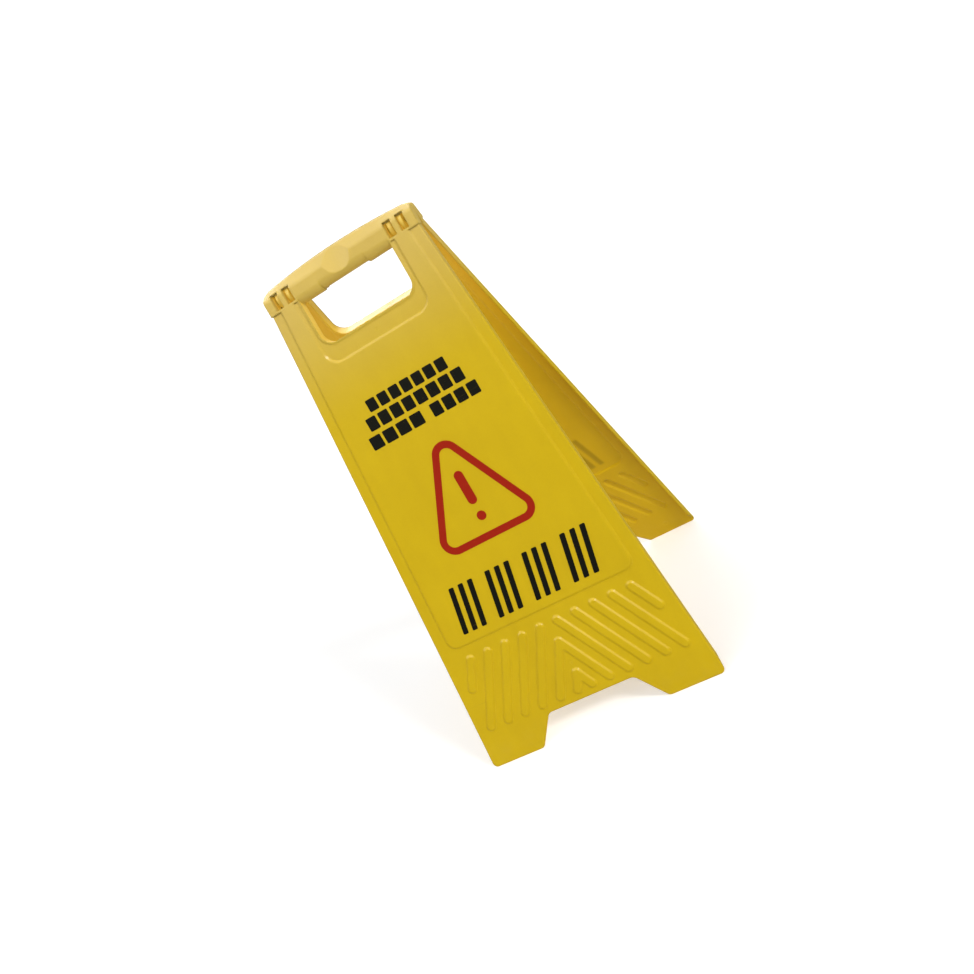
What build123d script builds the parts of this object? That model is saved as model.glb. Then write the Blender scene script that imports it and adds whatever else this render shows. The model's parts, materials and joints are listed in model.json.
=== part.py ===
from build123d import *
import math
import os

# A folding A-frame floor sign. Two moulded panels hang from one hinge line inside the handle bar:
# the rear panel's hook rings turn on two pins that are held by lugs inside the front panel.
# Millimetres, +Z up. The origin is on the floor midway between the feet, +X is across the sign and
# the front panel is on the -Y side.
# A panel is drawn flat and then leaned into place. While flat, X runs across it, Y up it from the
# hinge axis, and Z outwards from its mid-plane. A drop is a distance down the panel from the axis.

# Stance and outline
half_open = 15.2  # degrees that each panel leans from the vertical
foot_drop = 590.0
half_width_top = 96.6  # at the hinge axis
side_slope = 0.0902  # growth of the half width for each mm of drop
notch_drop = 553.6  # top of the gap between the feet
notch_half_top = 54.9
notch_half_bottom = 81.4
foot_radius = 6.0
toe_radius = 7.0
notch_radius = 9.0

# Thicknesses, outwards from the mid-plane
wall = 2.4
border_face = 11.5
raised_face = 13.3
rise = raised_face - border_face
skin_back = border_face - wall
mid_gap = 0.3  # each panel stays this far short of its mid-plane
rim_round = 1.4
flank = 52.0  # degrees of draft on the sides of raised panels and ribs
edge_round = 0.9
flange_fade = 22.0  # length over which the side flanges run out above the feet

# Handle bar and hinge blocks
bar_end = 98.5  # half length
ridge_middle = 20.0  # height of the ridge over the axis when the sign stands open
ridge_end = 14.0
bar_shoulder = 5.0  # height at which the front face turns into the sloping top
shoulder_radius = 6.0
bar_drop = 15.3
bar_drop_ends = 17.3
grip_half = 30.0  # half length of the shallower middle of the bar
bar_radius = 10.0  # lower front corner of the bar
block_drop = 12.5
block_corner = 8.0
stop_gap = 0.15  # half the gap between the two ridges when the sign stands open
cavity_height = 8.0  # hollow inside the bar, above the axis
cavity_face = raised_face - wall
cavity_slope = 5.0
thumb_radius = 45.0  # the scoop for the thumb in the middle of the bar
thumb_depth = 4.0
thumb_tilt = 12.0
thumb_half = 24.0  # the hollow behind the scoop is shallower over this half length

# Hinge
pin_radius = 3.0
press = 0.02
running = 0.05
lug_radius = 6.5
ring_radius = 9.8
swing_clearance = 0.6
window_half = 61.0
jamb = 2.2
lugs = [(window_half, window_half + jamb), (73.0, 79.0), (88.5, 91.0)]
rings = [(66.4, 70.9), (80.2, 84.4)]
slots = [(63.2, 73.0), (79.0, 88.5)]
slot_top = 8.0
slot_drop = 10.0
slot_depth = 5.0  # how far behind the front face a slot's square mouth reaches

# Handle window
window_drop = 70.0
rear_window_drop = 75.5
window_radius = 15.0
rim_flank = 3.2
rim_crest = 1.1
rim_rise = 1.4
band_half = 66.0  # recessed band round the window
band_drop = 90.0

# Raised field for the printing
field_top_half = 86.0
field_top_drop = 4.0  # hidden under the hinge block
field_half = 121.6
field_drop = 439.8
field_radius = 13.0
recess_inset = 0.9  # how far the hollow behind a boss stays inside its outline

# Ribs below the field
rib_width = 11.8
rib_top = 457.0
rib_bottom = 541.0
rib_starts = [11.0, 34.2, 57.5, 81.0]
rib_reach = 44.8  # how far a rib leans outwards from top to bottom
short_rib = ((104.2, 457.0), (121.8, 490.0))
chevrons = [(480.5, 32.0), (522.0, 9.5)]  # drop of the apex, half spread at the bottom

# Marks of the mould
mark_depth = 0.25
gate_radius = 1.8
gate_drops = [81.5, 509.0]
ejector_radius = 3.5
ejector_marks = [
    (x, drop, skin_back + rise)
    for drop in (130.0, 250.0, 400.0)
    for x in (-70.0, 0.0, 70.0)
] + [(x, 572.0, skin_back) for x in (-112.0, 112.0)]

# Printing
ink = 0.2
ink_round = 1.4
block_rows = [
    (148.5, 14.0, [(-54.0, 49.0, 7)]),
    (167.0, 15.0, [(-65.0, 60.0, 8)]),
    (187.0, 15.0, [(-73.0, -4.0, 4), (8.0, 68.0, 4)]),
]  # drop of the row's middle, block height, and each run's ends and number of blocks
block_gap = 3.2
print_shift = -3.0  # the triangle and its mark sit a little left of the middle
triangle_round = 17.0
triangle_apex_drop = 237.0  # centres of the rounded corners
triangle_base_drop = 324.0
triangle_half = 43.0
triangle_stroke = 8.5
mark_width = 11.0
mark_top_drop = 257.0
mark_stem_drop = 298.0
mark_dot_drop = 313.0
band_top_drop = 371.0
band_bottom_drop = 427.0
band_groups = [-73.0, -24.5, 24.0, 72.5]
band_bars = [-12.5, 0.0, 12.5]
band_bar_width = 6.6
band_slant = 6.0

# Construction
beyond = 300.0  # further than any edge of a panel from its axis
deep = 30.0  # deeper than any panel
bite = 0.2  # how far a web runs into the wall that it joins

lean_sin = math.sin(math.radians(half_open))
lean_cos = math.cos(math.radians(half_open))
hinge_height = foot_drop * lean_cos - border_face * lean_sin
leaned = Plane(
    origin=(0, 0, hinge_height), x_dir=(1, 0, 0), z_dir=(0, -lean_cos, lean_sin)
)


def half_width(drop):
    return half_width_top + side_slope * drop


def mirrored(points):
    """A closed outline, anticlockwise, from its right half listed from the top down."""
    return [(-x, y) for x, y in points] + points[::-1]


def face_of(points, rounds=()):
    """A face with some corners rounded: rounds holds (corner, radius), each corner mirrored too."""
    face = make_face(Polyline(*points, close=True))
    for corner, radius in rounds:
        near = [
            v
            for v in face.vertices()
            if abs(abs(v.X) - corner[0]) < 0.01 and abs(v.Y - corner[1]) < 0.01
        ]
        face = fillet(near, radius)
    return face


def outline():
    right = [
        (half_width(0), 0),
        (half_width(foot_drop), -foot_drop),
        (notch_half_bottom, -foot_drop),
        (notch_half_top, -notch_drop),
    ]
    rounds = [(right[1], foot_radius), (right[2], toe_radius), (right[3], notch_radius)]
    return face_of(mirrored(right), rounds)


def boss(face, base):
    """A low raised form with sloping flanks and a rounded top edge."""
    form = extrude(Pos(0, 0, base) * face, amount=rise, taper=flank)
    return fillet(form.faces().sort_by(Axis.Z)[-1].edges(), edge_round)


def raised(face):
    return boss(face, border_face)


def hollow(face):
    """The matching recess behind a boss, which keeps the wall even."""
    return boss(offset(face, amount=-recess_inset), skin_back)


def skin():
    plate = extrude(Pos(0, 0, skin_back) * outline(), amount=wall)
    return fillet(plate.faces().sort_by(Axis.Z)[-1].edges(), rim_round)


def side_flange(side):
    """A straight wall behind one side edge, which runs out just above the foot."""
    ends = [(half_width(0), 0), (half_width(foot_drop - foot_radius), foot_radius - foot_drop)]
    strip = make_face(
        Polyline(
            *[(side * x, y) for x, y in ends],
            *[(side * (x - wall), y) for x, y in reversed(ends)],
            close=True,
        )
    )
    flange = extrude(Pos(0, 0, mid_gap) * strip, amount=skin_back - mid_gap)
    tips = flange.faces().sort_by(Axis.Z)[0].edges().sort_by(SortBy.LENGTH)[-2:]
    flange = fillet(tips, edge_round)
    run_out = Plane.YZ * make_face(
        Polyline(
            (-foot_drop - 1, -1),
            (-foot_drop + flange_fade, -1),
            (-foot_drop + flange_fade, mid_gap),
            (-foot_drop + foot_radius, skin_back),
            (-foot_drop - 1, skin_back),
            close=True,
        )
    )
    return flange - extrude(run_out, amount=beyond, both=True)


def punch(face):
    """What a face cuts out, right through the panel."""
    return extrude(face, amount=deep, both=True)


def window(drop, grow=0.0):
    """The handle window, open at the top where the bar closes it."""
    half = window_half + grow
    corner = (half, -drop - grow)
    return face_of(mirrored([(half, 0), corner]), [(corner, window_radius + grow)])


def window_rim(drop):
    """The raised lip round the window, before the window is cut through it."""
    slope = math.degrees(math.atan2(rim_flank - rim_crest, rim_rise))
    return extrude(Pos(0, 0, border_face) * window(drop, rim_flank), amount=rim_rise, taper=slope)


def jambs(drop):
    """The wall that lines the window, from the rim back to the mid-plane."""
    ring = window(drop, jamb) - window(drop)
    return extrude(Pos(0, 0, mid_gap) * ring, amount=border_face - mid_gap)


def field():
    """The raised field for the printing, cut away round the handle window."""
    corner = (field_half, -field_drop)
    plate = face_of(
        mirrored([(field_top_half, -field_top_drop), corner]), [(corner, field_radius)]
    )
    band_corner = (band_half, -band_drop)
    band = face_of(mirrored([(band_half, 0), band_corner]), [(band_corner, window_radius)])
    return plate - band


def capsule(start, end):
    dx, dy = end[0] - start[0], end[1] - start[1]
    middle = Pos((start[0] + end[0]) / 2, (start[1] + end[1]) / 2)
    turn = math.degrees(math.atan2(dy, dx))
    return middle * SlotCenterToCenter(math.hypot(dx, dy), rib_width, rotation=turn)


def rib_faces():
    faces = []
    for side in (-1, 1):
        for x in rib_starts:
            faces.append(capsule((side * x, -rib_top), (side * (x + rib_reach), -rib_bottom)))
        (x0, d0), (x1, d1) = short_rib
        faces.append(capsule((side * x0, -d0), (side * x1, -d1)))
    for apex, spread in chevrons:
        arms = [capsule((0, -apex), (side * spread, -rib_bottom)) for side in (-1, 1)]
        faces.append(arms[0] + arms[1])
    return faces


def across(x):
    """The plane across the bar at x, with its axes along the panel's Y and Z."""
    return Plane(origin=(x, 0, 0), x_dir=(0, 1, 0), z_dir=(1, 0, 0))


def own_side(height):
    """The point at that height over the axis where the panel meets the other one's bar."""
    return (
        height * lean_cos - stop_gap * lean_sin,
        height * lean_sin + stop_gap * lean_cos,
    )


def ridge(x):
    return own_side(ridge_middle - (ridge_middle - ridge_end) * (x / bar_end) ** 2)


def along_bar(points, start, end):
    """A prism from start to end along the bar, of a section given in Y and Z."""
    return extrude(across(start) * make_face(Polyline(*points, close=True)), amount=end - start)


def disc(radius, start, end):
    """A round blank on the hinge axis."""
    low = (Align.CENTER, Align.CENTER, Align.MIN)
    return Plane(origin=(start, 0, 0), z_dir=(1, 0, 0)) * Cylinder(radius, end - start, align=low)


def both_sides(spans):
    """The same spans on the right and, mirrored, on the left."""
    return list(spans) + [(-end, -start) for start, end in spans]


def bar_blank():
    """The closed outer form of the half bar and its hinge blocks, under an arched ridge."""
    sections = []
    for x in (-bar_end, -bar_end / 2, 0, bar_end / 2, bar_end):
        outer = [
            (-block_drop, mid_gap),
            (0, mid_gap),
            ridge(x),
            (bar_shoulder, raised_face),
            (-block_drop, raised_face),
        ]
        sections.append(across(x) * make_face(Polyline(*outer, close=True)))
    blank = loft(sections)
    shoulder = [
        e
        for e in blank.edges()
        if abs(e.center().Y - bar_shoulder) < 0.1 and abs(e.center().Z - raised_face) < 0.1
    ]
    blank = fillet(shoulder, shoulder_radius)
    for side in (-1, 1):
        blank -= corner_tool(side)
    return blank


def corner_tool(side):
    """What is cut off to round the bar's upper end corner."""
    size = 2 * block_corner
    x, y = side * (bar_end - block_corner), ridge(bar_end)[0] - block_corner
    square = Pos(x + side * size / 2, y + size / 2) * Rectangle(size, size)
    return punch(square - Pos(x, y) * Circle(block_corner))


def grip(start, end, drop):
    """A length of the bar below the axis, rounded where the fingers close round it."""
    points = [(-drop, mid_gap), (0, mid_gap), (0, raised_face), (-drop, raised_face)]
    return fillet(lower_front(along_bar(points, start, end), drop, raised_face), bar_radius)


def lower_front(solid, drop, face):
    """The edge along the bar at that drop and face."""
    near = [e for e in solid.edges() if abs(e.center().Y + drop) < 0.01]
    return [e for e in near if abs(e.center().Z - face) < 0.01]


def cavity(start, end, drop, face):
    """The hollow behind a length of the bar."""
    points = [
        (-drop, -1),
        (cavity_height, -1),
        (cavity_height, face - cavity_slope),
        (cavity_height - cavity_slope, face),
        (-drop, face),
    ]
    return along_bar(points, start, end)


def grip_cavity(start, end, drop, face):
    solid = cavity(start, end, drop - wall, face)
    return fillet(lower_front(solid, drop - wall, face), min(bar_radius, face) - wall)


def thumb_recess():
    """A shallow scoop across the shoulder of the bar."""
    tilt = math.radians(thumb_tilt)
    y, z = math.sin(tilt), math.cos(tilt)
    reach = thumb_radius - thumb_depth
    origin = (0, bar_shoulder + reach * y, raised_face + reach * z)
    return Plane(origin=origin, x_dir=(1, 0, 0), z_dir=(0, z, -y)) * Cylinder(thumb_radius, beyond)


def half_bar():
    opening = Pos(0, -block_drop) * Rectangle(2 * window_half, 2 * block_drop)
    bar = bar_blank() - punch(opening)
    ends = both_sides([(grip_half, window_half)])
    bar = bar + [grip(-grip_half, grip_half, bar_drop)]
    bar = bar + [grip(start, end, bar_drop_ends) for start, end in ends]
    outer = both_sides([(thumb_half, window_half)])
    blocks = both_sides([(window_half + jamb, bar_end - wall)])
    bar = bar - [grip_cavity(start, end, bar_drop, cavity_face) for start, end in outer]
    bar = bar - grip_cavity(-thumb_half, thumb_half, bar_drop, cavity_face - thumb_depth)
    bar = bar - [cavity(start, end, block_drop, cavity_face) for start, end in blocks]
    return bar - thumb_recess()


def moulding_marks():
    """Dimples where the plastic was let in, and shallow discs where the pins pushed it out."""
    marks = []
    for drop in gate_drops:
        dimple = Circle(gate_radius) - Circle(gate_radius / 2)
        marks.append(extrude(Pos(0, -drop, border_face - mark_depth) * dimple, amount=deep))
    for x, drop, back in ejector_marks:
        marks.append(extrude(Pos(x, -drop, back + mark_depth) * Circle(ejector_radius), amount=-wall))
    return marks


def blank_panel(drop):
    """Everything that the two panels share, with a window that reaches down to the drop."""
    ribs = rib_faces()
    panel = skin() + [side_flange(-1), side_flange(1), raised(field())]
    panel = panel + [raised(face) for face in ribs]
    panel = panel - [hollow(face) for face in [field()] + ribs]
    panel = panel + window_rim(drop)
    panel = panel - punch(window(drop))
    panel = panel + jambs(drop) - moulding_marks()
    above = Pos(0, beyond / 2 - block_drop) * Rectangle(2 * beyond, beyond)
    return panel - punch(above) + half_bar()


def web(start, end):
    """A plate across the hinge block, from the axis out to the skin."""
    points = [
        (-block_drop, mid_gap),
        (0, mid_gap),
        own_side(cavity_height),
        (cavity_height, cavity_face + bite),
        (-block_drop, cavity_face + bite),
    ]
    return along_bar(points, start, end)


def standing(panel):
    """Leaned into place, with the feet cut level with the floor."""
    floor = Box(beyond * 2, beyond * 2, deep, align=(Align.CENTER, Align.CENTER, Align.MAX))
    return leaned * panel - floor


def turned(shape):
    """Turned round to the rear."""
    return Rot(0, 0, 180) * shape


def front_panel():
    panel = blank_panel(window_drop)
    spans = both_sides(slots)
    panel = panel - [disc(ring_radius + swing_clearance, start, end) for start, end in spans]
    for start, end in spans:
        size = (end - start, slot_top + slot_drop, 2 * slot_depth)
        middle = ((start + end) / 2, (slot_top - slot_drop) / 2, raised_face)
        panel = panel - Pos(*middle) * Box(*size)
    held = both_sides(lugs)
    panel = panel + [web(start, end) for start, end in held]
    panel = panel + [disc(lug_radius, start, end) for start, end in held]
    panel = panel - [disc(pin_radius - press, start, end) for start, end in held]
    return standing(panel)


def rear_panel():
    panel = blank_panel(rear_window_drop)
    spread = [(start - swing_clearance, end + swing_clearance) for start, end in both_sides(lugs)]
    panel = panel - [disc(lug_radius + swing_clearance, start, end) for start, end in spread]
    hooked = both_sides(rings)
    panel = panel + [web(start, end) for start, end in hooked]
    panel = panel + [disc(ring_radius, start, end) for start, end in hooked]
    panel = panel - [disc(pin_radius + running, start, end) for start, end in hooked]
    return turned(standing(panel))


def hinge_pin(side):
    start, end = sorted((side * lugs[0][0], side * lugs[-1][1]))
    return leaned * disc(pin_radius, start, end)


def film(face):
    """A layer of ink on the raised field."""
    return leaned * extrude(Pos(0, 0, raised_face) * face, amount=ink)


def block_print():
    """Rows of plain blocks where the wording would be."""
    blocks = []
    for drop, height, runs in block_rows:
        for start, end, count in runs:
            pitch = (end - start + block_gap) / count
            for i in range(count):
                centre = Pos(start + pitch * (i + 0.5) - block_gap / 2, -drop)
                blocks.append(film(centre * RectangleRounded(pitch - block_gap, height, ink_round)))
    return blocks


def triangle_print():
    points = [
        (print_shift, -triangle_apex_drop),
        (print_shift - triangle_half, -triangle_base_drop),
        (print_shift + triangle_half, -triangle_base_drop),
    ]
    core = make_face(Polyline(*points, close=True))
    outer = offset(core, amount=triangle_round)
    return [film(outer - offset(core, amount=triangle_round - triangle_stroke))]


def mark_print():
    """A plain bar and dot inside the triangle."""
    height = mark_stem_drop - mark_top_drop
    middle = Pos(print_shift, -(mark_top_drop + mark_stem_drop) / 2)
    stem = middle * SlotOverall(height, mark_width, rotation=90)
    return [film(stem), film(Pos(print_shift, -mark_dot_drop) * Circle(mark_width / 2))]


def band_print():
    """Four groups of plain slanted bars."""
    top, bottom = -band_top_drop, -band_bottom_drop
    half = band_bar_width / 2
    bars = []
    for x in [group + bar for group in band_groups for bar in band_bars]:
        points = [(x - half + band_slant, top), (x - half - band_slant, bottom)]
        points += [(x + half - band_slant, bottom), (x + half + band_slant, top)]
        face = make_face(Polyline(*points, close=True))
        bars.append(film(fillet(face.vertices(), ink_round)))
    return bars


parts = {
    "front_panel": front_panel(),
    "rear_panel": rear_panel(),
    "left_hinge_pin": hinge_pin(-1),
    "right_hinge_pin": hinge_pin(1),
}
prints = {
    "block_print": block_print,
    "triangle_print": triangle_print,
    "mark_print": mark_print,
    "band_print": band_print,
}
for name, draw in prints.items():
    parts["front_" + name] = Compound(children=draw())
    parts["rear_" + name] = Compound(children=[turned(solid) for solid in draw()])

os.makedirs("parts", exist_ok=True)
for name, shape in parts.items():
    export_step(shape, f"parts/{name}.step")
    print(name, round(shape.volume / 1000, 1), "cm3")
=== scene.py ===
# %% [markdown]
# # A folding floor sign
# The sign is two moulded shells that hinge inside the carrying bar. The CAD model already holds
# every edge, rib and hook, so it comes in as a fixed frame. This lesson gives it its finish: softly
# glossy moulded plastic, screen-printed ink, and a plain studio with a camera.

# %% Load the frame
import json
import math

import bmesh
import bpy
from mathutils import Euler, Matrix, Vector

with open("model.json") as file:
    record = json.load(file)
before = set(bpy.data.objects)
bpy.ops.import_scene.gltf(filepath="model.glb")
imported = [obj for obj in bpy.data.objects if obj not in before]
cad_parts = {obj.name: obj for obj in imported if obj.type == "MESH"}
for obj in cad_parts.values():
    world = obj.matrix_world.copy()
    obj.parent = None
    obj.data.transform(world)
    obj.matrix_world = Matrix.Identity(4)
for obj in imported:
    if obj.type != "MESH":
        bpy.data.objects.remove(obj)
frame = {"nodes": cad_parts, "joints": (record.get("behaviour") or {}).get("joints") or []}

scene = bpy.context.scene
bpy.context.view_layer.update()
nodes = frame["nodes"]
print("nodes", sorted(nodes))

# %% [markdown]
# ## Camera
# The view is from above the sign's right-hand side, at about twice its height away. The camera is
# rolled, so the sign stands at a slant in the frame. Turns about X, Y and Z give that view with no
# lens shift, which keeps the perspective true from every other angle too.

# %% Camera
camera_data = bpy.data.cameras.new("camera")
camera_data.lens = 36.4
camera_data.sensor_width = 36.0
camera = bpy.data.objects.new("camera", camera_data)
camera.location = (0.361, -1.028, 0.682)
camera.rotation_euler = Euler([math.radians(v) for v in (64.44, 32.59, 5.56)])
scene.collection.objects.link(camera)
scene.camera = camera
print("camera at", [round(v, 3) for v in camera.location])

# %% [markdown]
# ## Node helpers
# Every finish below is built from the same few nodes: arithmetic, soft steps between two values and
# colour mixes. Wiring them by hand takes three or four lines each, so small helpers do it. Each one
# adds a node to a tree and gives back its output, which keeps a material readable as a recipe.

# %% A node with its settings
def add_node(tree, kind, **settings):
    """Add a shader node and set its properties."""
    made = tree.nodes.new("ShaderNode" + kind)
    for key, value in settings.items():
        setattr(made, key, value)
    return made


def feed(tree, socket, value):
    """Set a socket to a number or colour, or link it to another node's output."""
    if isinstance(value, bpy.types.NodeSocket):
        tree.links.new(value, socket)
    else:
        socket.default_value = value


# %% Arithmetic and soft steps
def maths(tree, operation, *values, clamp=False):
    """Arithmetic on numbers and sockets, kept between 0 and 1 if clamp is set."""
    made = add_node(tree, "Math", operation=operation, use_clamp=clamp)
    for socket, value in zip(made.inputs, values):
        feed(tree, socket, value)
    return made.outputs[0]


def soft_step(tree, value, start, end, low=0.0, high=1.0):
    """A smooth change from low at start to high at end, where start may be the larger."""
    made = add_node(tree, "MapRange", interpolation_type="SMOOTHSTEP")
    for socket, number in zip(made.inputs, (value, start, end, low, high)):
        feed(tree, socket, number)
    return made.outputs[0]


def stripe(tree, value, centre, half, blur):
    """1 within half of the centre, and 0 past the blur."""
    away = maths(tree, "ABSOLUTE", maths(tree, "SUBTRACT", value, centre))
    return soft_step(tree, away, half + blur, half - blur)


# %% Colour mixes and noise
colour_factor, colour_a, colour_b, colour_result = 0, 6, 7, 2   # the Mix node's colour sockets


def mix_colour(tree, amount, under, over):
    """One colour laid over another by an amount from 0 to 1."""
    made = add_node(tree, "Mix", data_type="RGBA")
    for index, value in ((colour_factor, amount), (colour_a, under), (colour_b, over)):
        feed(tree, made.inputs[index], value)
    return made.outputs[colour_result]


def noise(tree, vector, scale, detail=2.0, roughness=0.5):
    """Noise from 0 to 1, with the scale in waves per metre."""
    made = add_node(tree, "TexNoise")
    feed(tree, made.inputs["Vector"], vector)
    made.inputs["Scale"].default_value = scale
    made.inputs["Detail"].default_value = detail
    made.inputs["Roughness"].default_value = roughness
    return made.outputs["Fac"]


def stretched(tree, vector, scale, turn):
    """A vector stretched along one direction, for streaks and scratches."""
    made = add_node(tree, "Mapping")
    feed(tree, made.inputs["Vector"], vector)
    made.inputs["Rotation"].default_value = [math.radians(v) for v in turn]
    made.inputs["Scale"].default_value = scale
    return made.outputs["Vector"]


# %% A shader node group
def new_group(name, inputs, outputs):
    """An empty group with named sockets, and its input and output nodes."""
    tree = bpy.data.node_groups.new(name, "ShaderNodeTree")
    for direction, sockets in (("INPUT", inputs), ("OUTPUT", outputs)):
        for title, kind in sockets.items():
            tree.interface.new_socket(title, in_out=direction, socket_type="NodeSocket" + kind)
    return tree, tree.nodes.new("NodeGroupInput"), tree.nodes.new("NodeGroupOutput")


def place_group(tree, group, **values):
    """Put a group in a material. A value's name is its socket's, with _ for each space."""
    made = tree.nodes.new("ShaderNodeGroup")
    made.node_tree = group
    for key, value in values.items():
        feed(tree, made.inputs[key.replace("_", " ")], value)
    return made.outputs


# %% [markdown]
# ## Where a point is on its panel
# Both panels are the same moulding, leaned 15.2 degrees each way from the hinge. Dust lies by the
# feet, the top is painted paler as a painted glare, and the shadow of the print is painted on the
# inner face, so the finish needs to know how far down the panel a point is and on which face. Three
# dot products turn the object's own coordinates into a distance across, a drop from the hinge and a
# depth from the mid-plane. The rear panel uses the same group, with its coordinates turned half round
# first.

# %% Panel coordinates
half_open = math.radians(15.2)
lean_sin, lean_cos = math.sin(half_open), math.cos(half_open)
fold = frame["joints"][0]
hinge_height = fold["pos_m"][2]
print("hinge height", round(hinge_height, 4))


def build_panel_place():
    """Where a point is on its panel: across it, down from the hinge and out from the mid-plane."""
    tree, given, out = new_group(
        "place on the panel",
        {"Vector": "Vector"},
        {"Across": "Float", "Drop": "Float", "Depth": "Float"},
    )
    from_hinge = add_node(tree, "VectorMath", operation="SUBTRACT")
    feed(tree, from_hinge.inputs[0], given.outputs["Vector"])
    from_hinge.inputs[1].default_value = (0, 0, hinge_height)
    down = (0, -lean_sin, -lean_cos)
    outwards = (0, -lean_cos, lean_sin)
    for title, direction in (("Across", (1, 0, 0)), ("Drop", down), ("Depth", outwards)):
        dot = add_node(tree, "VectorMath", operation="DOT_PRODUCT")
        feed(tree, dot.inputs[0], from_hinge.outputs[0])
        dot.inputs[1].default_value = direction
        feed(tree, out.inputs[title], dot.outputs["Value"])
    return tree


panel_place = build_panel_place()
print("group", panel_place.name, [s.name for s in panel_place.interface.items_tree])

# %% [markdown]
# ## Moulded grain
# A steel mould is blasted or etched, so the plastic comes out with a fine pebble grain, and thick
# spots sink a little as they cool. An image would repeat and blur up close. Noise at two scales
# gives a pebble height of under a tenth of a millimetre and a slow waviness that breaks up the
# reflections.

# %% Grain group
def build_grain():
    """Pebble and sink marks as a height for the bump, and the pebble alone for the gloss."""
    tree, given, out = new_group(
        "moulded grain", {"Vector": "Vector", "Size": "Float"}, {"Height": "Float", "Pebble": "Float"}
    )
    cells = add_node(tree, "TexVoronoi", feature="SMOOTH_F1")
    feed(tree, cells.inputs["Vector"], given.outputs["Vector"])
    feed(tree, cells.inputs["Scale"], maths(tree, "DIVIDE", 1.0, given.outputs["Size"]))
    fine = noise(tree, given.outputs["Vector"], 900.0, 3.0)
    sink = noise(tree, given.outputs["Vector"], 22.0, 1.0)
    pebble = maths(tree, "MULTIPLY_ADD", fine, 0.5, cells.outputs["Distance"])
    feed(tree, out.inputs["Pebble"], maths(tree, "MULTIPLY", pebble, 0.8, clamp=True))
    feed(tree, out.inputs["Height"], maths(tree, "MULTIPLY_ADD", sink, 2.5, pebble))
    return tree


grain = build_grain()
print("group", grain.name)

# %% [markdown]
# ## Colour drift
# Pigment never mixes quite evenly into molten plastic: there are slow clouds, and faint streaks that
# run down the panel the way the melt flowed. A little of each keeps a large flat yellow from looking
# like paint on a screen.

# %% Drift group
def build_drift():
    """A colour that is a little lighter or darker in clouds, streaks and specks."""
    tree, given, out = new_group(
        "colour drift",
        {"Vector": "Vector", "Colour": "Color", "Amount": "Float"},
        {"Colour": "Color"},
    )
    cloud = noise(tree, given.outputs["Vector"], 9.0, 3.0, 0.6)
    flow = noise(tree, stretched(tree, given.outputs["Vector"], (60, 60, 4), (0, 0, 0)), 1.0, 2.0)
    speckle = noise(tree, given.outputs["Vector"], 420.0, 2.0, 0.7)
    both = maths(tree, "MULTIPLY_ADD", flow, 0.5, cloud)
    every = maths(tree, "MULTIPLY_ADD", speckle, 0.4, both)
    average = 0.5 * (1.0 + 0.5 + 0.4)
    shift = maths(tree, "MULTIPLY", maths(tree, "SUBTRACT", every, average), given.outputs["Amount"])
    varied = add_node(tree, "HueSaturation")
    feed(tree, varied.inputs["Color"], given.outputs["Colour"])
    feed(tree, varied.inputs["Value"], maths(tree, "ADD", shift, 1.0))
    feed(tree, varied.inputs["Hue"], maths(tree, "MULTIPLY_ADD", shift, 0.02, 0.5))
    feed(tree, out.inputs["Colour"], varied.outputs["Color"])
    return tree


drift = build_drift()
print("group", drift.name)

# %% [markdown]
# ## Edge wear
# Rims, rib crests and the carrying bar are what hands, trolleys and walls touch, so they scuff and
# turn pale first; their paler colour is partly wear and partly a painted highlight along the edges.
# The Bevel node gives a rounded normal near an edge. Where that differs from the true normal there is
# an edge, and noise breaks the line into patches.

# %% Wear group
def build_wear():
    """A mask of the edges, broken into patches."""
    tree, given, out = new_group(
        "edge wear", {"Vector": "Vector", "Radius": "Float"}, {"Mask": "Float"}
    )
    rounded = add_node(tree, "Bevel", samples=4)
    feed(tree, rounded.inputs["Radius"], given.outputs["Radius"])
    flat = add_node(tree, "NewGeometry")
    dot = add_node(tree, "VectorMath", operation="DOT_PRODUCT")
    feed(tree, dot.inputs[0], rounded.outputs[0])
    feed(tree, dot.inputs[1], flat.outputs["Normal"])
    edge = soft_step(tree, dot.outputs["Value"], 0.995, 0.90)
    patch = soft_step(tree, noise(tree, given.outputs["Vector"], 70.0, 4.0, 0.65), 0.38, 0.62, 0.35)
    feed(tree, out.inputs["Mask"], maths(tree, "MULTIPLY", edge, patch, clamp=True))
    return tree


wear = build_wear()
print("group", wear.name)

# %% [markdown]
# ## Scuffs and dust
# A floor sign is kicked, dragged and mopped round. Fine scratches run in two directions and get
# denser towards the feet. Dust settles on whatever faces up and in the splash zone at the bottom.

# %% Scuff group
def build_scuffs():
    """A mask of fine scratches in two directions."""
    tree, given, out = new_group(
        "scuffs", {"Vector": "Vector", "Drop": "Float"}, {"Mask": "Float"}
    )
    masks = []
    for turn, scale in (((0, 24, 8), (14, 14, 420)), ((0, 66, -12), (11, 11, 520))):
        grooves = noise(tree, stretched(tree, given.outputs["Vector"], scale, turn), 1.0, 3.0, 0.6)
        masks.append(soft_step(tree, grooves, 0.68, 0.76))
    patch = soft_step(tree, noise(tree, given.outputs["Vector"], 13.0, 2.0), 0.45, 0.65)
    low_down = soft_step(tree, given.outputs["Drop"], 0.1, 0.6, 0.3, 1.0)
    lines = maths(tree, "ADD", *masks, clamp=True)
    scratched = maths(tree, "MULTIPLY", lines, maths(tree, "MULTIPLY", patch, low_down))
    feed(tree, out.inputs["Mask"], scratched)
    return tree


scuffs = build_scuffs()
print("group", scuffs.name)

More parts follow.
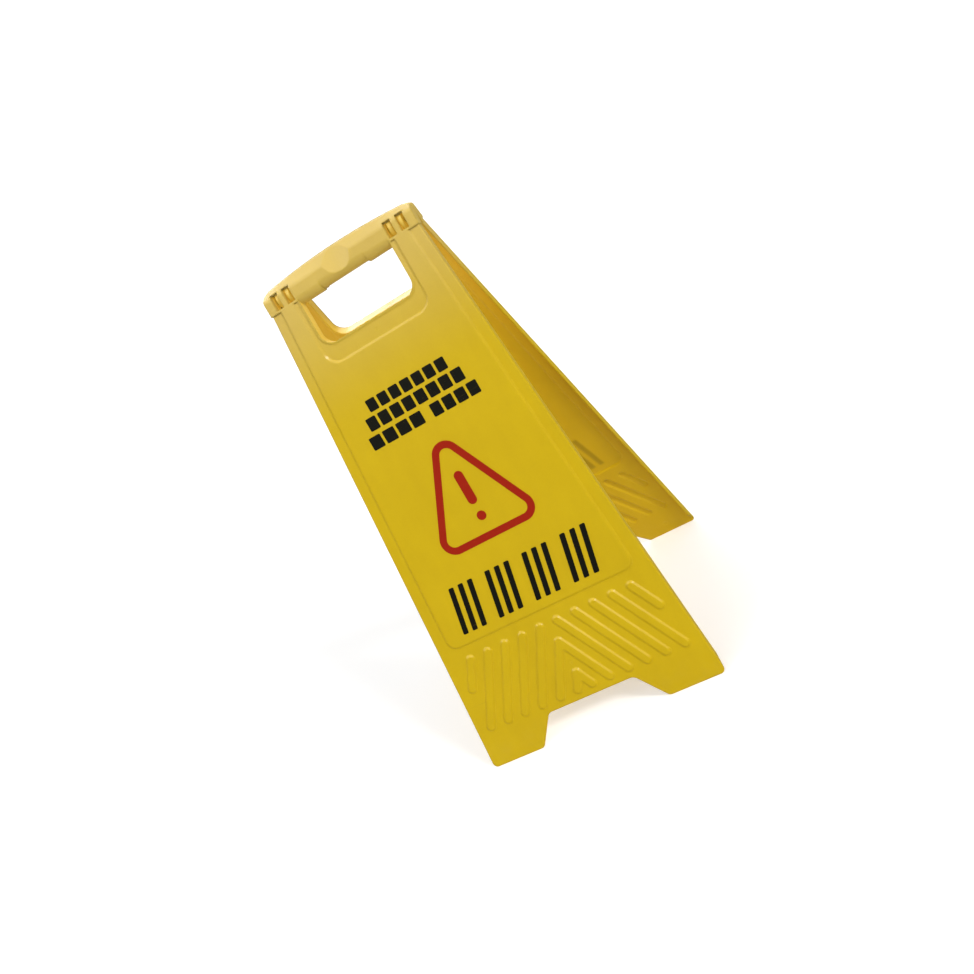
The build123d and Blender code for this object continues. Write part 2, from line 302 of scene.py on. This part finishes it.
# %% Dust group
def build_dust():
    """A mask of the faces that look up and of the splash zone by the feet."""
    tree, given, out = new_group(
        "dust", {"Vector": "Vector", "Drop": "Float"}, {"Mask": "Float"}
    )
    normal = add_node(tree, "NewGeometry")
    parts = add_node(tree, "SeparateXYZ")
    feed(tree, parts.inputs[0], normal.outputs["Normal"])
    upward = soft_step(tree, parts.outputs["Z"], 0.35, 0.95)
    splash = soft_step(tree, given.outputs["Drop"], 0.545, 0.60, 0.0, 0.6)
    settled = maths(tree, "MAXIMUM", upward, splash)
    patch = soft_step(tree, noise(tree, given.outputs["Vector"], 45.0, 5.0, 0.7), 0.35, 0.75)
    feed(tree, out.inputs["Mask"], maths(tree, "MULTIPLY", settled, patch))
    return tree


dust = build_dust()
print("group", dust.name)

# %% [markdown]
# ## Print showing through
# The wall is only 2.4 mm of tinted plastic, and strong light behind it carries the shadow of the
# black and red print through to the inner face. The print is plain bars, blocks and a triangle, so
# soft stripes of the panel's own coordinates draw the same pattern, blurred by the plastic.

# %% Show-through group
blur, sharp = 0.0022, 0.001
# Four groups of three slanted bars: the band's middle and half height, the pitches and the slant.
band_centre, band_half = 0.399, 0.028
group_pitch, bar_pitch, bar_half, bar_slant = 0.0485, 0.0125, 0.0033, 0.214
# The triangle's stroke: how far down its apex and base are, and how wide and off centre it is.
triangle_apex, triangle_base, triangle_half = 0.220, 0.341, 0.060
triangle_off, triangle_corner = 0.003, 0.012
stroke_middle, stroke_half, red_strength = 0.0035, 0.004, 0.6
# Each row of blocks: its middle, half height and half width.
block_rows = ((0.1485, 0.007, 0.0515), (0.167, 0.0075, 0.0625), (0.187, 0.0075, 0.0705))
blocks_off = 0.0025


def bar_shadow(tree, across, drop):
    """Four groups of three slanted bars."""
    below_centre = maths(tree, "SUBTRACT", drop, band_centre)
    slanted = maths(tree, "MULTIPLY_ADD", below_centre, bar_slant, across)
    shifted = maths(tree, "ADD", slanted, 2 * group_pitch)
    from_start = maths(tree, "FLOORED_MODULO", shifted, group_pitch)
    in_group = maths(tree, "SUBTRACT", from_start, group_pitch / 2)
    in_bar = maths(tree, "FLOORED_MODULO", maths(tree, "ADD", in_group, 1.5 * bar_pitch), bar_pitch)
    bars = stripe(tree, in_bar, bar_pitch / 2, bar_half, blur)
    group = stripe(tree, in_group, 0.0, 1.5 * bar_pitch, sharp)
    width = stripe(tree, across, 0.0, 2 * group_pitch, sharp)
    rows = maths(tree, "MULTIPLY", stripe(tree, drop, band_centre, band_half, blur), width)
    return maths(tree, "MULTIPLY", maths(tree, "MULTIPLY", bars, group), rows)


def triangle_shadow(tree, across, drop):
    """The stroke of the triangle: how far a point is inside its three sides."""
    slope = math.atan2(triangle_half, triangle_base - triangle_apex)
    from_middle = maths(tree, "ABSOLUTE", maths(tree, "ADD", across, triangle_off))
    side = maths(tree, "MULTIPLY", maths(tree, "SUBTRACT", drop, triangle_apex), math.sin(slope))
    inside_sides = maths(tree, "MULTIPLY_ADD", from_middle, -math.cos(slope), side)
    inside_base = maths(tree, "SUBTRACT", triangle_base, drop)
    inside = maths(tree, "SMOOTH_MIN", inside_sides, inside_base, triangle_corner)
    return stripe(tree, inside, stroke_middle, stroke_half, blur)


def block_shadow(tree, across, drop):
    """Three rows of blocks, too close to stay apart once blurred."""
    rows = []
    for middle, half_height, half_width in block_rows:
        row = stripe(tree, drop, middle, half_height, blur)
        rows.append(maths(tree, "MULTIPLY", row, stripe(tree, across, -blocks_off, half_width, blur)))
    return maths(tree, "MAXIMUM", maths(tree, "MAXIMUM", rows[0], rows[1]), rows[2])


# %% Which side of the wall
half_width_top, side_slope = 0.0966, 0.0902   # a panel's half width at the hinge, and its taper
bar_face, panel_face = 0.0075, 0.0113         # depths just behind the outer faces
bar_end, panel_start = 0.011, 0.014           # drops where the bar's face becomes the panel's
side_wall = (0.0012, 0.0022)                  # in from the side edge
top_wall = (-0.010, -0.008)                   # drops just under the bar's top
grip_end, grip_side = (0.0170, 0.0185), (0.0600, 0.0608)


def inner_side(tree, across, drop, depth):
    """1 on the hollow side of the wall, and 0 on the outer faces, side edges and the grip."""
    off_middle = maths(tree, "ABSOLUTE", across)
    face = soft_step(tree, drop, bar_end, panel_start, bar_face, panel_face)
    behind_face = soft_step(tree, maths(tree, "SUBTRACT", face, depth), 0.0, 0.0003)
    half_width = maths(tree, "MULTIPLY_ADD", drop, side_slope, half_width_top)
    from_side = soft_step(tree, maths(tree, "SUBTRACT", half_width, off_middle), *side_wall)
    under_top = soft_step(tree, drop, *top_wall)
    below_grip, beside_grip = soft_step(tree, drop, *grip_end), soft_step(tree, off_middle, *grip_side)
    off_grip = maths(tree, "MAXIMUM", below_grip, beside_grip)
    masks = maths(tree, "MULTIPLY", behind_face, from_side)
    return maths(tree, "MULTIPLY", masks, maths(tree, "MULTIPLY", under_top, off_grip))


# %% The group itself
def build_show_through():
    """The shadow of the print on the inner face, and the inner side itself."""
    tree, given, out = new_group(
        "print showing through",
        {"Across": "Float", "Drop": "Float", "Depth": "Float"},
        {"Mask": "Float", "Inner": "Float"},
    )
    across, drop, depth = (given.outputs[title] for title in ("Across", "Drop", "Depth"))
    black = maths(tree, "MAXIMUM", bar_shadow(tree, across, drop), block_shadow(tree, across, drop))
    red = maths(tree, "MULTIPLY", triangle_shadow(tree, across, drop), red_strength)
    inner = inner_side(tree, across, drop, depth)
    shadow = maths(tree, "MULTIPLY", maths(tree, "MAXIMUM", black, red), inner)
    feed(tree, out.inputs["Mask"], shadow)
    feed(tree, out.inputs["Inner"], inner)
    return tree


show_through = build_show_through()
print("group", show_through.name)

# %% [markdown]
# ## The yellow plastic
# The panels are injection-moulded polypropylene. Its yellow is deep and slightly green in the body.
# The top is painted paler as a painted glare, and the inside is painted amber and given a painted
# glow, for light that comes through the thin walls. The gloss is soft, so the specular level is low
# and the roughness comes from the grain. A second Bevel node rounds the shading of the bar's and the
# ribs' edges, as a worn mould does. All of the changing values are mixed here, and the shader itself
# stays outside the groups.

# %% New material
def new_material(name, turned):
    """A material with object coordinates that put the front panel and the rear one in one frame."""
    material = bpy.data.materials.new(name)
    material.use_nodes = True
    tree = material.node_tree
    where = add_node(tree, "TexCoord").outputs["Object"]
    if turned:
        where = stretched(tree, where, (1, 1, 1), (0, 0, 180))
    return material, tree, tree.nodes["Principled BSDF"], where


def add_bump(tree, shader, height, strength, distance, normal=None):
    """Raise the surface by a height, where a height of 1 is the distance in metres."""
    bump = add_node(tree, "Bump")
    feed(tree, bump.inputs["Height"], height)
    if normal:
        feed(tree, bump.inputs["Normal"], normal)
    bump.inputs["Strength"].default_value = strength
    bump.inputs["Distance"].default_value = distance
    feed(tree, shader.inputs["Normal"], bump.outputs["Normal"])


# %% Yellow plastic
yellow_body = (0.545, 0.370, 0.002, 1)
yellow_painted_glare = (0.55, 0.385, 0.075, 1)
yellow_inner_painted_light = (0.56, 0.365, 0.003, 1)
yellow_worn_and_highlight = (0.76, 0.58, 0.03, 1)
# the colour of the painted glow on the inner face
light_through = (0.24, 0.150, 0.012, 1)
dust_grey = (0.44, 0.37, 0.15, 1)
scuff_brown = (0.22, 0.15, 0.02, 1)
ink_shadow = (0.16, 0.10, 0.008, 1)


pebble_size = 0.0011


def yellow_plastic(name, turned):
    """Yellow plastic with its wear and painted light, for the front panel or, turned, for the rear
    one.
    """
    material, tree, shader, where = new_material(name, turned)
    place = place_group(tree, panel_place, Vector=where)
    drop = place["Drop"]
    behind = place_group(tree, show_through, Across=place["Across"], Drop=drop, Depth=place["Depth"])
    pebble = place_group(tree, grain, Vector=where, Size=pebble_size)
    worn_and_highlight = place_group(tree, wear, Vector=where, Radius=0.0011)["Mask"]
    scratched = place_group(tree, scuffs, Vector=where, Drop=drop)["Mask"]
    dusty = place_group(tree, dust, Vector=where, Drop=drop)["Mask"]

    # Painted light: the inner side gets an amber base colour for light that comes through the walls
    # and bounces inside.
    body = mix_colour(tree, behind["Inner"], yellow_body, yellow_inner_painted_light)
    # Painted glare: the top of each panel is painted paler, as if it were lit more strongly.
    painted_glare = soft_step(tree, drop, 0.16, -0.01)
    body = mix_colour(tree, painted_glare, body, yellow_painted_glare)
    body = place_group(tree, drift, Vector=where, Colour=body, Amount=0.16)["Colour"]
    layers = (
        (behind["Mask"], 0.42, ink_shadow),
        # Edges painted paler: partly wear, partly a painted highlight along the rims and rib crests.
        (worn_and_highlight, 0.55, yellow_worn_and_highlight),
        (scratched, 0.22, scuff_brown),
        (dusty, 0.12, dust_grey),
    )
    for mask, strength, colour in layers:
        body = mix_colour(tree, maths(tree, "MULTIPLY", mask, strength), body, colour)
    feed(tree, shader.inputs["Base Color"], body)

    # Painted glow: the inner face emits amber light for the light that comes through the walls,
    # stronger near the top and dimmed under the print's shadow.
    near_top = soft_step(tree, drop, 0.32, 0.04, 0.28, 1.0)
    shade = maths(tree, "MULTIPLY_ADD", behind["Mask"], -0.6, behind["Inner"], clamp=True)
    shade = maths(tree, "MULTIPLY", shade, near_top)
    feed(tree, shader.inputs["Emission Color"], mix_colour(tree, shade, (0, 0, 0, 1), light_through))
    shader.inputs["Emission Strength"].default_value = 1.0

    gloss = maths(tree, "MULTIPLY_ADD", pebble["Pebble"], 0.10, 0.27)
    gloss = maths(tree, "MULTIPLY_ADD", scratched, 0.18, gloss)
    gloss = maths(tree, "MULTIPLY_ADD", dusty, 0.22, gloss)
    feed(tree, shader.inputs["Roughness"], maths(tree, "MULTIPLY_ADD", worn_and_highlight, 0.22, gloss))

    height = maths(tree, "SUBTRACT", pebble["Height"], maths(tree, "MULTIPLY", scratched, 0.6))
    soft_edges = add_node(tree, "Bevel", samples=4)
    soft_edges.inputs["Radius"].default_value = 0.0028
    add_bump(tree, shader, height, 0.35, 0.00012, soft_edges.outputs[0])
    shader.inputs["Specular IOR Level"].default_value = 0.16
    shader.inputs["Coat Weight"].default_value = 0.14
    shader.inputs["Coat Roughness"].default_value = 0.16
    return material


front_yellow = yellow_plastic("yellow plastic, front", False)
rear_yellow = yellow_plastic("yellow plastic, rear", True)
print("material", front_yellow.name, len(front_yellow.node_tree.nodes), "nodes")

# %% [markdown]
# ## The hinge pins
# The pins are pressed into lugs inside the bar. They are turned or moulded from a harder, paler
# plastic, smooth where the rings ride on them, with fine rings round them from running.

# %% Pin plastic
def pin_plastic():
    """Smooth, pale plastic with fine running rings."""
    material, tree, shader, where = new_material("pin plastic", False)
    tone = place_group(tree, drift, Vector=where, Colour=(0.55, 0.42, 0.06, 1), Amount=0.2)["Colour"]
    rings = noise(tree, stretched(tree, where, (2200, 20, 20), (0, 0, 0)), 1.0, 2.0)
    feed(tree, shader.inputs["Base Color"], tone)
    feed(tree, shader.inputs["Roughness"], maths(tree, "MULTIPLY_ADD", rings, 0.15, 0.2))
    add_bump(tree, shader, rings, 0.3, 0.00005)
    return material


pin_finish = pin_plastic()
print("material", pin_finish.name)

# %% [markdown]
# ## The ink
# Screen ink goes on in one thick coat and takes the grain of the plastic under it. It is a little
# uneven in density, has pinholes where the grain was deepest, and scuffs through to the plastic.
# One recipe makes the black and the red, for both panels.

# %% Ink
def ink(name, colour, thin, turned):
    """Ink of a colour that is lighter where it is thin, with pinholes and scuffs."""
    material, tree, shader, where = new_material(name, turned)
    drop = place_group(tree, panel_place, Vector=where)["Drop"]
    pebble = place_group(tree, grain, Vector=where, Size=pebble_size)
    scratched = place_group(tree, scuffs, Vector=where, Drop=drop)["Mask"]
    density = soft_step(tree, noise(tree, where, 160.0, 4.0, 0.7), 0.62, 0.80)
    pinhole = soft_step(tree, noise(tree, where, 1900.0, 1.0), 0.78, 0.82)
    tone = mix_colour(tree, maths(tree, "MULTIPLY", density, 0.5), colour, thin)
    bare = maths(tree, "MAXIMUM", pinhole, maths(tree, "MULTIPLY", scratched, 0.35))
    tone = mix_colour(tree, maths(tree, "MULTIPLY", bare, 0.6), tone, yellow_body)
    feed(tree, shader.inputs["Base Color"], tone)
    feed(tree, shader.inputs["Roughness"], maths(tree, "MULTIPLY_ADD", pebble["Pebble"], 0.15, 0.42))
    add_bump(tree, shader, pebble["Height"], 0.35, 0.00010)
    shader.inputs["Specular IOR Level"].default_value = 0.04
    return material


black, thin_black = (0.005, 0.005, 0.003, 1), (0.018, 0.016, 0.008, 1)
red, thin_red = (0.305, 0.015, 0.005, 1), (0.37, 0.028, 0.008, 1)
finishes = {}
for side, turned in (("front", False), ("rear", True)):
    finishes[side, "black"] = ink(f"black ink, {side}", black, thin_black, turned)
    finishes[side, "red"] = ink(f"red ink, {side}", red, thin_red, turned)
print("inks", len(finishes))

# %% [markdown]
# ## Give each part its finish
# The prints are separate parts on the panels, so a part's name says what it is made of.

# %% Assign
ink_of = {"block_print": "black", "band_print": "black", "triangle_print": "red", "mark_print": "red"}
for name, node in nodes.items():
    side, _, kind = name.partition("_")
    finish = {"front_panel": front_yellow, "rear_panel": rear_yellow}.get(name, pin_finish)
    if kind in ink_of:
        finish = finishes[side, ink_of[kind]]
    node.data.materials.clear()
    node.data.materials.append(finish)
    print(name, "has", finish.name)

# %% [markdown]
# ## Studio
# The floor is one wide pale sheet, and it fades into a white room. Three soft suns light it evenly
# however far away it is, which lamps close by would not. Suns with a wide angle cast only a faint,
# soft shadow.

# %% Floor
def floor_material():
    """White to the eye, pale as a bounce light and dark in reflections."""
    material = bpy.data.materials.new("pale floor")
    material.use_nodes = True
    tree = material.node_tree
    shader = tree.nodes["Principled BSDF"]
    shader.inputs["Base Color"].default_value = (0.8, 0.8, 0.8, 1)
    shader.inputs["Roughness"].default_value = 0.9
    shader.inputs["Specular IOR Level"].default_value = 0.0
    path = add_node(tree, "LightPath")
    lift = add_node(tree, "Emission")
    lift.inputs["Strength"].default_value = 0.30
    glossy = add_node(tree, "Emission")
    glossy.inputs["Strength"].default_value = 0.14
    lifted = add_node(tree, "AddShader")
    tree.links.new(shader.outputs[0], lifted.inputs[0])
    tree.links.new(lift.outputs[0], lifted.inputs[1])
    seen = add_node(tree, "MixShader")
    tree.links.new(path.outputs["Is Camera Ray"], seen.inputs[0])
    tree.links.new(shader.outputs[0], seen.inputs[1])
    tree.links.new(lifted.outputs[0], seen.inputs[2])
    whole = add_node(tree, "MixShader")
    tree.links.new(path.outputs["Is Glossy Ray"], whole.inputs[0])
    tree.links.new(seen.outputs[0], whole.inputs[1])
    tree.links.new(glossy.outputs[0], whole.inputs[2])
    tree.links.new(whole.outputs[0], tree.nodes["Material Output"].inputs["Surface"])
    return material


def make_floor(size=30.0):
    """A flat sheet that reaches a size in metres each way from the middle."""
    mesh = bpy.data.meshes.new("floor")
    bm = bmesh.new()
    bmesh.ops.create_grid(bm, x_segments=1, y_segments=1, size=size)
    bm.to_mesh(mesh)
    bm.free()
    mesh.materials.append(floor_material())
    made = bpy.data.objects.new("floor", mesh)
    scene.collection.objects.link(made)
    return made


floor = make_floor()
print("floor", [round(v, 1) for v in floor.dimensions])

# %% Suns
def add_sun(name, towards, power, spread):
    """A white sun that shines from a direction, with its soft angle in degrees."""
    data = bpy.data.lights.new(name, "SUN")
    data.energy = power
    data.angle = math.radians(spread)
    lamp = bpy.data.objects.new(name, data)
    lamp.rotation_euler = Vector(towards).to_track_quat("Z", "Y").to_euler()
    scene.collection.objects.link(lamp)


add_sun("key sun", (0.80, -0.50, 0.66), 1.8, 14)
add_sun("fill sun", (-0.8, -0.6, 0.6), 0.6, 50)
add_sun("back sun", (-0.35, 0.85, 0.55), 1.1, 40)

# %% [markdown]
# ## The room
# To the eye the room is white. As a light it is a little dimmer. In reflections it is dark below and
# bright above, as a room with white ceiling lights is. The lower part of a panel mirrors the dark
# part, which keeps its yellow deep, and the top of the sign mirrors the bright part.

# %% World
def make_world():
    """A white room with one strength to the eye, one in reflections and one as a light."""
    world = bpy.data.worlds.new("studio")
    world.use_nodes = True
    tree = world.node_tree
    tree.nodes.clear()
    path = add_node(tree, "LightPath")
    direction = add_node(tree, "SeparateXYZ")
    feed(tree, direction.inputs[0], add_node(tree, "TexCoord").outputs["Generated"])
    ceiling = soft_step(tree, direction.outputs["Z"], 0.14, 0.75, 0.10, 7.0)
    backgrounds = {}
    for title, strength in (("seen", 1.1), ("mirrored", ceiling), ("lit", 0.58)):
        shade = add_node(tree, "Background")
        shade.inputs["Color"].default_value = (1, 1, 1, 1)
        feed(tree, shade.inputs["Strength"], strength)
        backgrounds[title] = shade.outputs[0]
    gloss = add_node(tree, "MixShader")
    feed(tree, gloss.inputs[0], path.outputs["Is Glossy Ray"])
    tree.links.new(backgrounds["lit"], gloss.inputs[1])
    tree.links.new(backgrounds["mirrored"], gloss.inputs[2])
    whole = add_node(tree, "MixShader")
    feed(tree, whole.inputs[0], path.outputs["Is Camera Ray"])
    tree.links.new(gloss.outputs[0], whole.inputs[1])
    tree.links.new(backgrounds["seen"], whole.inputs[2])
    out = add_node(tree, "OutputWorld")
    tree.links.new(whole.outputs[0], out.inputs["Surface"])
    return world


scene.world = make_world()
scene.view_settings.view_transform = "Standard"
print("world", scene.world.name)
